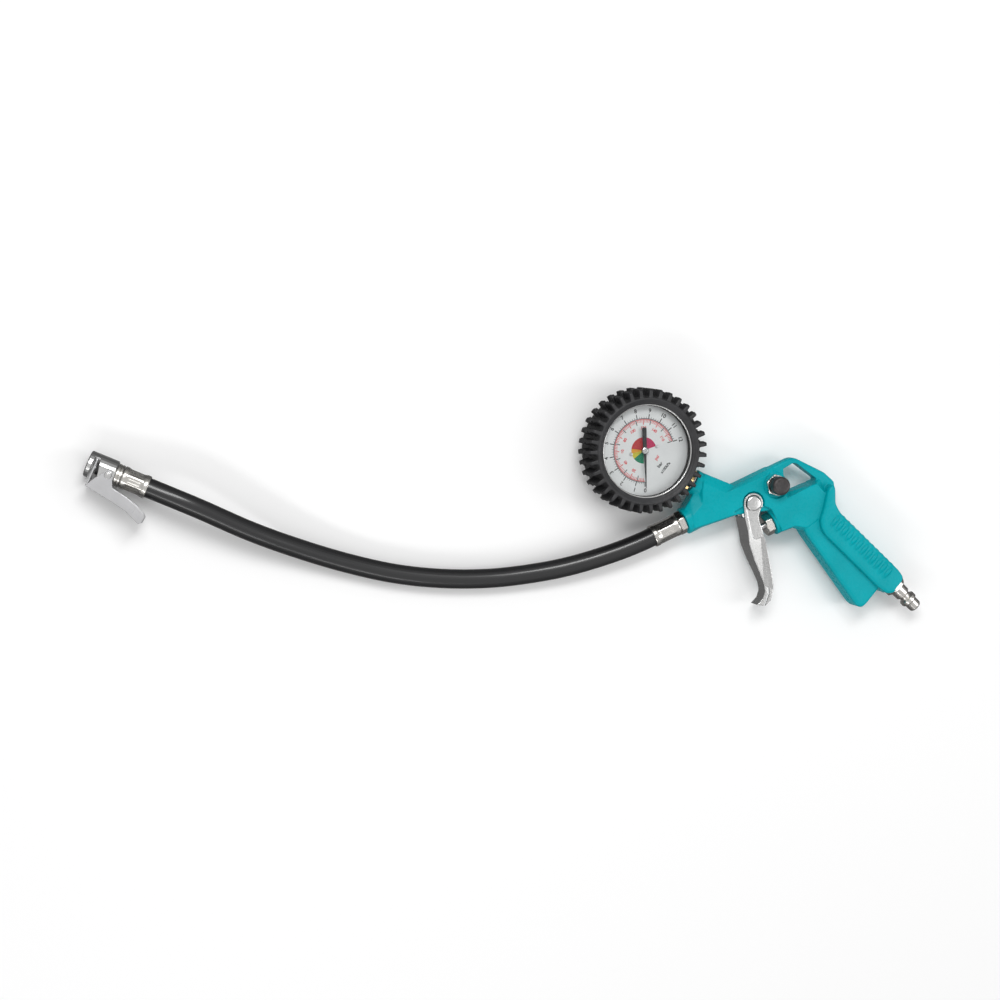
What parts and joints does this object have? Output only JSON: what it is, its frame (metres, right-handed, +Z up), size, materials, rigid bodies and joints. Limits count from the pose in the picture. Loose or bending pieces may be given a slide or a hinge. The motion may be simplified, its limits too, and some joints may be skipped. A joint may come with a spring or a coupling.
{
  "type": "tyre inflator with gauge",
  "caption": "Pistol-grip tyre inflator lying on its side, with a trigger, a bleed button, a round dial gauge in a rubber boot, and a short hose with a clip-on chuck.",
  "frame": {"origin": "on the ground, under the middle of the box of the gun and gauge, hose left out", "axes": "+X from the gauge towards the grip, +Y from the trigger towards the top of the gun, +Z up, out of the dial"},
  "size_m": [0.5827, 0.1594, 0.0363],
  "materials": {
    "teal_paint": "gloss paint on a die-cast body",
    "chrome_plate": "bright plating",
    "nickel_plate": "satin nickel plating",
    "bright_steel": "bright steel",
    "brass": "machined brass",
    "black_rubber": "moulded rubber",
    "black_plastic": "moulded plastic",
    "dial_face": "printed satin silver",
    "needle_black": "matt black",
    "clear_lens": "clear plastic window"
  },
  "bodies": {
    "gun": {"gun_body": "teal_paint", "trigger_pin": "chrome_plate", "trigger_pin_ring": "bright_steel", "valve_gland_nut": "nickel_plate", "stem_o_ring": "black_rubber", "valve_spring": "bright_steel", "bleed_nut": "nickel_plate", "bleed_spring": "bright_steel", "inlet_plug": "nickel_plate", "inlet_seal": "black_rubber", "hose_fitting": "nickel_plate", "gun_ferrule": "nickel_plate", "hose": "black_rubber", "chuck_ferrule": "nickel_plate", "chuck_tail": "nickel_plate", "chuck_body": "chrome_plate", "chuck_rivet_front": "chrome_plate", "chuck_rivet_back": "chrome_plate", "chuck_seal": "black_rubber", "chuck_depressor": "brass", "chuck_spring": "bright_steel", "gauge_boot": "black_rubber", "gauge_case": "bright_steel", "gauge_bezel": "chrome_plate", "gauge_lens": "clear_lens", "lens_gasket": "black_rubber", "dial_plate": "dial_face", "dial_screw_a": "bright_steel", "dial_screw_b": "bright_steel", "dial_post_a": "brass", "dial_post_b": "brass", "movement_plate_lower": "brass", "movement_plate_upper": "brass", "sector_shaft": "bright_steel", "hairspring": "bright_steel", "bourdon_tube": "brass", "gauge_socket": "brass", "stem_washer": "bright_steel"},
    "trigger": {"trigger_lever": "chrome_plate"},
    "valve": {"valve_stem": "bright_steel", "valve_seal": "black_rubber"},
    "bleed": {"bleed_cap": "black_plastic", "bleed_stem": "brass", "bleed_seal": "black_rubber"},
    "pointer_shaft": {"pointer": "needle_black", "pinion_shaft": "brass"},
    "sector": {"sector_gear": "brass"},
    "link": {"movement_link": "bright_steel", "tube_tip": "brass"},
    "clip": {"chuck_lever": "bright_steel"}
  },
  "joints": [
    {"name": "trigger_pull", "type": "hinge", "parent": "gun", "child": "trigger", "pos_m": [-0.0029, -0.0006, 0.0135], "axis": [0, 0, 1], "range_deg": [0, 14], "stiffness_Nm_per_rad": 0.6, "springref_deg": -14.32},
    {"name": "valve_push", "type": "slide", "parent": "gun", "child": "valve", "axis": [0.9135, 0.4067, 0], "range_m": [0, 0.0052], "deforming": ["valve_spring"]},
    {"name": "bleed_press", "type": "slide", "parent": "gun", "child": "bleed", "axis": [0, 0, -1], "range_m": [0, 0.0022], "stiffness_N_per_m": 1500, "springref_m": -0.002, "deforming": ["bleed_spring"]},
    {"name": "pointer_turn", "type": "hinge", "parent": "gun", "child": "pointer_shaft", "pos_m": [-0.0832, 0.0373, 0.0135], "axis": [0, 0, -1], "range_deg": [0, 257], "stiffness_Nm_per_rad": 0.0006, "springref_deg": -22.92, "deforming": ["hairspring", "bourdon_tube"]},
    {"name": "sector_turn", "type": "hinge", "parent": "gun", "child": "sector", "pos_m": [-0.08466, 0.05404, 0.0135], "axis": [0, 0, 1], "range_deg": [0, 51.5]},
    {"name": "link_pull", "type": "hinge", "parent": "gun", "child": "link", "pos_m": [-0.0832, 0.0373, 0.0135], "axis": [0, 0, 1], "range_deg": [0, 11.64]},
    {"name": "clip_lift", "type": "hinge", "parent": "gun", "child": "clip", "pos_m": [-0.44017, 0.02708, 0.01191], "axis": [-0.1908, 0.0826, 0.9781], "range_deg": [0, 12], "stiffness_Nm_per_rad": 0.25, "springref_deg": -11.46, "deforming": ["chuck_spring"]}
  ],
  "couplings": [
    {"joint": "valve_push", "follows": "trigger_pull", "m_per_rad": 0.0208},
    {"joint": "sector_turn", "follows": "pointer_turn", "ratio": 0.2},
    {"joint": "link_pull", "follows": "pointer_turn", "ratio": 0.04522}
  ]
}
